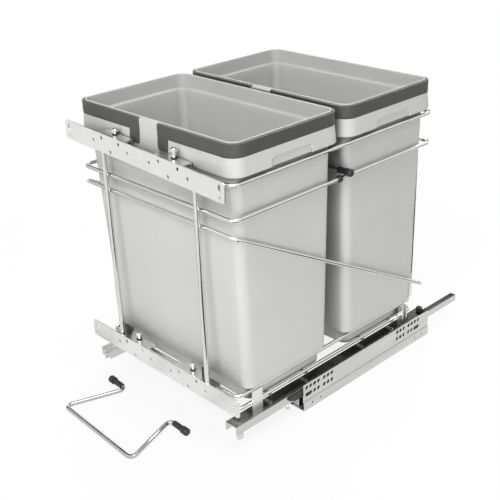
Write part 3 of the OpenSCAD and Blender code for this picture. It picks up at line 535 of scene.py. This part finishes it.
def build_bin(node):
    """A bin's shell from level loops: up its outside, over the lip and down its inside."""
    low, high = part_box(node)
    cy = (low.y + high.y) / 2 / MM
    z0, rim = low.z / MM, high.z / MM
    w = (high.x - low.x) / MM - 2 * FLARE
    d = (high.y - low.y) / MM - 2 * FLARE
    columns = bin_columns(w / 2 - COLLAR_R, d / 2 - COLLAR_R)
    body_w, body_d, body_r = w - 2 * BODY_STEP, d - 2 * BODY_STEP, COLLAR_R - BODY_STEP
    shoulder_w, shoulder_d = body_w - 2 * SIDE_LEAN, body_d - FRONT_LEAN - REAR_LEAN
    shoulder_y = cy + (FRONT_LEAN - REAR_LEAN) / 2
    foot_d = shoulder_d - BASE_FRONT - BASE_REAR
    foot_y = shoulder_y + (BASE_FRONT - BASE_REAR) / 2
    loops = []

    def base(z, inset):
        loops.append(loop_points(columns, FOOT_W, foot_d, FOOT_R, foot_y, z, inset))

    def shoulder(share, z, inset):
        inner = loop_points(columns, FOOT_W, foot_d, FOOT_R, foot_y, z, inset)
        outer = loop_points(columns, shoulder_w, shoulder_d, SHOULDER_R, shoulder_y, z, inset)
        loops.append([
            tuple(a + (b - a) * share for a, b in zip(p, q)) for p, q in zip(inner, outer)])

    def body(z, inset):
        start = SHOULDER_Z + SHOULDER_EDGE
        t = min(1.0, max(0.0, (z - start) / (LEDGE_Z - start)))
        loops.append(loop_points(
            columns, shoulder_w + (body_w - shoulder_w) * t,
            shoulder_d + (body_d - shoulder_d) * t,
            SHOULDER_R + (body_r - SHOULDER_R) * t,
            shoulder_y + (cy - shoulder_y) * t, z, inset))

    def collar(z, inset):
        loops.append(loop_points(columns, w, d, COLLAR_R, cy, z, inset))

    def edge(share):
        def inset(side, along, z):
            outer = collar_inset(side, along, COLLAR_Z)
            return COLLAR_WALL + (outer - COLLAR_WALL) * share
        return inset

    # Outer base, shoulder and body
    base(z0, BOTTOM_INSET)
    for a in QUARTER:
        base(z0 + FOOT_EDGE * (1 - math.cos(a)), FOOT_EDGE * (1 - math.sin(a)))
    for z in BASE_ROWS:
        base(z, 0.0)
    for share, lift in SHOULDER_BEND:
        shoulder(share, SHOULDER_Z + lift, 0.0)
    for a in QUARTER:
        shoulder(
            1 - SHOULDER_ROUND_W * (1 - math.sin(a)),
            SHOULDER_Z + SHOULDER_ROUND_H * (1 - math.cos(a)), 0.0)
    for z in spaced(BODY_START, BODY_STOP, BODY_ROW) + [BODY_STOP]:
        body(z, 0.0)
    for drop, inset in WEB_BEND:
        body(WEB_Z - drop, inset)
    # Under the collar, round its lower edge and up its outside with the pockets
    for drop, inset in COLLAR_ROOT:
        collar(WEB_Z - drop, COLLAR_WALL + inset)
    collar(COLLAR_Z + COLLAR_FOOT, COLLAR_WALL)
    for share, lift in COLLAR_EDGE:
        collar(COLLAR_Z + lift, edge(share))
    rows = [COLLAR_Z + COLLAR_ROW_0 + COLLAR_ROW * i for i in range(COLLAR_ROWS)]
    rows = [z for z in rows if z < POCKET_Z - POCKET_NEAR]
    for z in rows + [POCKET_Z - POCKET_WALL, POCKET_Z + POCKET_WALL] + BAND_ROWS:
        collar(z, collar_inset)
    for inset, drop in LIP:
        collar(rim - drop, inset)
    # Inside, from the rim to the floor
    for z in INNER_ROWS:
        collar(z, INNER_INSET)
    for lift, inset in LEDGE_ROOT:
        collar(LEDGE_Z + lift, inset)
    for drop, inset in LEDGE_BEND:
        body(LEDGE_Z - drop, inset)
    for z in spaced(WALL_START, WALL_STOP, BODY_ROW):
        body(z, BIN_WALL)
    for a in QUARTER:
        shoulder(
            1 - INNER_ROUND_W * (1 - math.cos(a)),
            SHOULDER_Z + BIN_WALL + INNER_ROUND_H * (1 - math.sin(a)), BIN_WALL)
    for share, lift in INNER_BEND:
        shoulder(share, SHOULDER_Z + BIN_WALL + lift, BIN_WALL)
    for a in QUARTER:
        base(
            z0 + BIN_FLOOR + FLOOR_EDGE * (1 - math.sin(a)),
            BIN_WALL + FLOOR_EDGE * (1 - math.cos(a)))
    base(z0 + BIN_FLOOR, FLOOR_INSET)

    bm = bmesh.new()
    skin(bm, [[bm.verts.new(p) for p in loop] for loop in loops])
    stand_in(bm, node, "_shell", smooth_angle=38)


build_bin("front_bin")
build_bin("rear_bin")


# Small round pieces, narrower than their solids

WASHER_R = 4.7
CAP_HEAD_R, CAP_SLEEVE_R, CAP_BORE_R = 6.0, 4.8, 3.4
# Points farther out than this share of the radius belong to the rim
WASHER_RIM, CAP_RIM = 0.85, 0.95
CAP_BACK = 0.05


def narrow_washers(node):
    """Copies of the washers with a smaller rim, so that they show as a thin dark line."""
    bm = welded_copy(node)
    for sign in (-1, 1):
        ring = [v for v in bm.verts if v.co.x * sign > 0]
        middle, widest = spread_of([v.co.xy for v in ring])
        for v in ring:
            out = v.co.xy - middle
            if out.length > WASHER_RIM * widest:
                v.co.xy = middle + out * (WASHER_R * MM / out.length)
    round_edges(bm, width=0.25, segments=2, angle=40)
    stand_in(bm, node, "_narrow", smooth_angle=40)


def slim_caps(node):
    """Copies of the divider's caps with a narrower head and sleeve, as the photo shows them."""
    bm = welded_copy(node)
    for sign in (-1, 1):
        cap = [v for v in bm.verts if v.co.x * sign > 0]
        middle, widest = spread_of([v.co.yz for v in cap])
        rim = [v for v in cap if (v.co.yz - middle).length > CAP_RIM * widest]
        head = min(v.co.x * sign for v in rim) + CAP_BACK * MM
        for v in cap:
            out = v.co.yz - middle
            if out.length < CAP_BORE_R * MM:
                continue
            if v in rim or v.co.x * sign > head:
                v.co.yz = middle + out * (CAP_HEAD_R * MM / widest)
            else:
                v.co.yz = middle + out * (CAP_SLEEVE_R * MM / out.length)
    stand_in(bm, node, "_slim", smooth_angle=40)


narrow_washers("lower_washers")
narrow_washers("upper_washers")
slim_caps("divider_caps")


# Bag bands


def build_band(node):
    """The bag band: a bent strip that starts and ends in a round-cornered finger leg."""
    low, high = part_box(node)
    cy = (low.y + high.y) / 2 / MM
    w, d = (high.x - low.x) / MM, (high.y - low.y) / MM
    top, foot = high.z / MM, low.z / MM
    r = COLLAR_R + BAND_PROUD
    ax, ay = w / 2 - r, d / 2 - r
    fine, middling, wide = 0.7, 3, 12
    turn, turns = 6, 15
    seam, past_leg = 0.02, 5

    def rise(u):
        """How far a leg's round corner lies from its end, u mm from the leg's side."""
        return LEG_R - math.sqrt(LEG_R ** 2 - (LEG_R - u) ** 2) if u < LEG_R else 0.0

    # Places along one half: x and y, the way out, and the strip's lower and upper edge
    leg_end = LEG_W - seam
    leg = spaced(0, LEG_R, fine) + spaced(LEG_R, LEG_W - LEG_R, middling)
    leg += spaced(LEG_W - LEG_R, leg_end, fine) + [leg_end]
    half = [
        (BAND_GAP / 2 + u, -d / 2, 0, -1, foot + rise(min(u, LEG_W - u)), top - rise(u))
        for u in leg]
    leg_side = BAND_GAP / 2 + LEG_W
    for x in [leg_side + seam] + spaced(leg_side + past_leg, ax, wide):
        half.append((x, -d / 2, 0, -1, BAND_Z0, top))

    def corner(start, sy):
        for i in range(turns):
            a = math.radians(start + turn * i)
            nx, ny = math.cos(a), math.sin(a)
            half.append((ax + r * nx, sy * ay + r * ny, nx, ny, BAND_Z0, top))

    corner(-90, -1)
    half += [(w / 2, y, 1, 0, BAND_Z0, top) for y in spaced(-ay, ay, wide) + [ay]]
    corner(turn, 1)
    half += [(x, d / 2, 0, 1, BAND_Z0, top) for x in spaced(ax - wide, 0, wide) + [0.0]]
    strip = half + [(-x, y, -nx, ny, a, b) for x, y, nx, ny, a, b in reversed(half[:-1])]

    bm = bmesh.new()
    rows = []
    for x, y, nx, ny, a, b in strip:
        inner = (x - BAND_T * nx, y - BAND_T * ny)
        section = ((x, y, a), (x, y, b), (*inner, b), (*inner, a))
        rows.append([
            bm.verts.new((px * MM, (cy + py) * MM, pz * MM)) for px, py, pz in section])
    skin(bm, rows)
    round_edges(bm, width=0.9, segments=3, angle=40)
    even_faces(stand_in(bm, node, "_strip", smooth_angle=50))


build_band("front_bag_band")
build_band("rear_bag_band")


# Small pieces on the slides, in mm

LATHE_STEPS = 20
# Radius and height, from the bottom up
PIN = ((0.9, -9.6), (2.2, -9.0), (2.9, -7.6), (2.9, -6.2), (1.5, -5.8), (1.5, -0.2), (0.75, 0.6))
PIN_IN, PIN_BACK = 0.75, 110.0
STUD = ((2.6, -0.4), (2.8, 0.3), (2.6, 1.1), (1.9, 2.0), (1.0, 2.5), (0.3, 2.6))
STUD_IN, STUD_BACK = 3.0, 4.0
# A black ribbed sheet inside each profile, as painted shade behind the hole plate
SHADE_SHEET_SIZE = (0.8, 300.0, 26.0)
SHADE_SHEET_OUT, SHADE_SHEET_AHEAD, SHADE_SHEET_UP = 2.6, 4, 33.5
SHADE_SHEET_RIBS, RIB_DEPTH = 25, 1.2
# A dark sheet of painted shade before the profile: distance from the profile's front end and height
# over its foot
FRONT_SHADE_OUTLINE = ((-30, 38.0), (-27, 40.0), (3, 40.0), (3, 27.0), (-17, 27.0), (-30, 33.5))
FRONT_SHADE_OUT = (0.7, 3.0)


def lathed(name, body, slot, outline, place):
    """A turned piece: outline is radius and height, on a place."""
    bm = bmesh.new()
    rings = []
    for r, z in outline:
        angles = [2 * math.pi * i / LATHE_STEPS for i in range(LATHE_STEPS)]
        rings.append([
            bm.verts.new((
                (place[0] + r * math.cos(a)) * MM,
                (place[1] + r * math.sin(a)) * MM,
                (place[2] + z) * MM))
            for a in angles])
    skin(bm, rings)
    adopt(mesh_from(bm, name, smooth_angle=45), name, body, slot)


def add_shade_sheet(name, sign, edge, low, high):
    """A black sheet, ribbed along its edges, put behind the hole plate as painted shade inside the
    profile.
    """
    bm = bmesh.new()
    bmesh.ops.create_cube(bm, size=1.0)
    size = Vector(SHADE_SHEET_SIZE) * MM
    middle = Vector((
        sign * (abs(edge) + SHADE_SHEET_OUT) * MM,
        (low.y + high.y) / 2 - SHADE_SHEET_AHEAD * MM, low.z + SHADE_SHEET_UP * MM))
    for v in bm.verts:
        v.co = Vector(a * b for a, b in zip(v.co, size)) + middle
    ys = [v.co.y for v in bm.verts]
    start, length = min(ys), max(ys) - min(ys)
    for i in range(1, SHADE_SHEET_RIBS):
        whole = bm.verts[:] + bm.edges[:] + bm.faces[:]
        cut = (0, start + length * i / SHADE_SHEET_RIBS, 0)
        bmesh.ops.bisect_plane(bm, geom=whole, plane_co=cut, plane_no=(0, 1, 0))
    for v in bm.verts:
        if round((v.co.y - start) / length * SHADE_SHEET_RIBS) % 2:
            v.co.z += (RIB_DEPTH if v.co.z < middle.z else -RIB_DEPTH) * MM
    adopt(mesh_from(bm, name), name, "cabinet", "black_rubber")


def add_front_shade_sheet(name, sign, edge, low):
    """A dark sheet reaches out of the profile's front end beside the channel, as painted shade on
    the channel's side.
    """
    bm = bmesh.new()
    rings = []
    for out in FRONT_SHADE_OUT:
        x = sign * (abs(edge) + out) * MM
        rings.append([bm.verts.new((x, low.y + y * MM, low.z + z * MM)) for y, z in FRONT_SHADE_OUTLINE])
    skin(bm, rings)
    round_edges(bm, width=0.5, segments=2, angle=40)
    adopt(mesh_from(bm, name), name, "cabinet", "black_rubber")


def add_slide_details(side):
    sign = 1 if side == "right" else -1
    channel = side + "_drawer_channel"
    channel_low, channel_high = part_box(channel)
    edge = (channel_high.x if sign > 0 else channel_low.x) / MM
    lathed(
        side + "_catch_pin", BODY_OF[channel], "zinc", PIN,
        (edge - sign * PIN_IN, channel_low.y / MM + PIN_BACK, channel_low.z / MM))
    buffer_low, buffer_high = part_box("rear_buffers")
    lathed(
        side + "_buffer_stud", "cabinet", "chrome", STUD,
        (edge - sign * STUD_IN, buffer_low.y / MM + STUD_BACK, buffer_high.z / MM))
    low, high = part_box(side + "_cabinet_profile")
    # Dark sheets as painted shade, inside the profile and before its front end
    add_shade_sheet(side + "_roller_cage", sign, edge, low, high)
    # Painted shade on the channel's side before the profile's front end
    add_front_shade_sheet(side + "_latch", sign, edge, low)


add_slide_details("right")
add_slide_details("left")


# Stage, in m

WHITE = (1, 1, 1, 1)
FLOOR_HALF, FLOOR_Z = 30.0, -0.0004
FLOOR_TONE, FLOOR_NOISE = 0.94, (40, 3)
# How much of the backdrop's white the floor shows, near the object and away from it
FLOOR_NEAR, FLOOR_AWAY = (0.5, 0.86), (1.3, 1.0)
WORLD_LIGHT = 0.16
CARD_TONE, CARD_NOISE = 0.02, (20, 2)
MATT = 0.9
MATT_FROM, MATT_TO = 0.85, 0.95
LENS, SENSOR = 64.27, 36.0
FACE_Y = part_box("lower_door_plate")[0].y
CAMERA_PLACE = (0.9772, FACE_Y - 0.7155, 0.8411)
CAMERA_RIGHT = Vector((0.6963, 0.7170, -0.0338)).normalized()
CAMERA_AHEAD = Vector((-0.6588, 0.6197, -0.4267)).normalized()
CENTRE = (0.0, 0.0, 0.25)


def seen_ray(tree):
    """1 for rays of the camera, of mirroring metal and of glass, 0 for light on the object."""
    path = add_node(tree, "ShaderNodeLightPath").outputs
    mirrored = add_node(
        tree, "ShaderNodeMath", path["Is Glossy Ray"], path["Is Transmission Ray"],
        operation="MAXIMUM")
    return add_node(
        tree, "ShaderNodeMath", path["Is Camera Ray"], mirrored.outputs[0],
        operation="MAXIMUM").outputs[0]


def add_sheet(name, corners, tone, noise):
    """A flat matt sheet of the stage, and its surface."""
    mesh = bpy.data.meshes.new(name)
    mesh.from_pydata(corners, [], [(0, 1, 2, 3)])
    sheet = bpy.data.objects.new(name, mesh)
    bpy.context.scene.collection.objects.link(sheet)
    s = Surface(name, (tone, tone, tone), 0.0, MATT)
    s.gloss(s.noise(*noise), MATT_FROM, MATT_TO)
    sheet.data.materials.append(s.material)
    return sheet, s


def add_floor():
    """A pale floor that shows the backdrop's white and keeps some of the object's shadow."""
    h = FLOOR_HALF
    floor, s = add_sheet(
        "floor", [(-h, -h, 0), (h, -h, 0), (h, h, 0), (-h, h, 0)], FLOOR_TONE, FLOOR_NOISE)
    floor.location.z = FLOOR_Z
    glow = add_node(s.tree, "ShaderNodeEmission", Color=WHITE, Strength=1.0)
    reach = add_node(s.tree, "ShaderNodeVectorMath", s.place, operation="LENGTH")
    fade = map_range(
        s.tree, reach.outputs["Value"], FLOOR_NEAR[0], FLOOR_AWAY[0], FLOOR_NEAR[1], FLOOR_AWAY[1])
    share = add_node(s.tree, "ShaderNodeMath", seen_ray(s.tree), fade, operation="MULTIPLY")
    mix = add_node(
        s.tree, "ShaderNodeMixShader", share.outputs[0], s.shader.outputs[0], glow.outputs[0])
    s.tree.links.new(mix.outputs[0], s.tree.nodes["Material Output"].inputs["Surface"])


def add_world():
    world = bpy.data.worlds.new("studio")
    bpy.context.scene.world = world
    world.use_nodes = True
    tree = world.node_tree
    tree.nodes.clear()
    strength = map_range(tree, seen_ray(tree), 0.0, 1.0, WORLD_LIGHT, 1.0)
    background = add_node(tree, "ShaderNodeBackground", Color=WHITE, Strength=strength)
    add_node(tree, "ShaderNodeOutputWorld", Surface=background.outputs[0])


def add_light(name, place, target, size, power):
    """A round lamp that faces its target, with its size in m and its power in W."""
    data = bpy.data.lights.new(name, "AREA")
    data.shape = "DISK"
    data.size = size
    data.energy = power
    lamp = bpy.data.objects.new(name, data)
    lamp.location = place
    lamp.rotation_euler = (Vector(target) - Vector(place)).to_track_quat("-Z", "Y").to_euler()
    bpy.context.scene.collection.objects.link(lamp)


def add_camera():
    data = bpy.data.cameras.new("camera")
    data.sensor_fit = "HORIZONTAL"
    data.sensor_width = SENSOR
    data.lens = LENS
    data.clip_start, data.clip_end = 0.05, 100.0
    camera = bpy.data.objects.new("camera", data)
    up = CAMERA_RIGHT.cross(CAMERA_AHEAD).normalized()
    right = CAMERA_AHEAD.cross(up)
    turn = Matrix((right, up, -CAMERA_AHEAD)).transposed().to_4x4()
    camera.matrix_world = Matrix.Translation(CAMERA_PLACE) @ turn
    bpy.context.scene.collection.objects.link(camera)
    bpy.context.scene.camera = camera


def add_card(name, corners, tone):
    """A dark studio card that only reflections show, so that bright metal gets dark lines."""
    card = add_sheet(name, corners, tone, CARD_NOISE)[0]
    card.visible_camera = False
    card.visible_diffuse = False
    card.visible_transmission = False
    card.visible_volume_scatter = False
    card.visible_shadow = False


def flat_card(name, x0, x1, y0, y1, z=0.002):
    """A level card, just over the floor or at another height."""
    add_card(name, [(x0, y0, z), (x1, y0, z), (x1, y1, z), (x0, y1, z)], CARD_TONE)


def upright_card(name, azimuth, distance, width, low, high, tone=CARD_TONE):
    """An upright card that faces the object's middle from an azimuth, in degrees."""
    a = math.radians(azimuth)
    foot = Vector((math.cos(a), math.sin(a), 0)) * distance
    side = Vector((-math.sin(a), math.cos(a), 0)) * width / 2
    one, two = foot - side, foot + side
    add_card(name, [
        (one.x, one.y, low), (two.x, two.y, low), (two.x, two.y, high), (one.x, one.y, high)], tone)


add_floor()
add_world()
flat_card("right_card", 0.31, 1.3, -0.62, -0.14)
flat_card("back_card", 0.36, 1.6, 0.12, 1.4)
flat_card("left_card", -1.6, -0.36, -0.38, 1.0)
flat_card("under_card", -0.6, -0.21, -0.27, -0.12)
flat_card("ceiling_card", -4.6, -0.8, -0.8, 1.8, 2.4)
upright_card("front_card", 227, 1.7, 1.6, 0.5, 0.85)
upright_card("rear_card", 121, 1.35, 1.06, 0.15, 1.0, 0.05)
add_light("main", (0.95, -2.1, 1.9), CENTRE, 1.5, 43)
add_light("key", (-1.5, -1.9, 2.3), CENTRE, 1.6, 5)
add_light("side", (1.8, -1.15, 0.42), (0.1, 0.05, 0.22), 1.0, 12.5)
add_light("top", (0.2, 0.3, 2.8), CENTRE, 2.0, 30)
add_light("rear", (-1.3, 1.9, 1.7), CENTRE, 1.8, 34)
add_camera()
bpy.context.scene.view_settings.view_transform = "Standard"
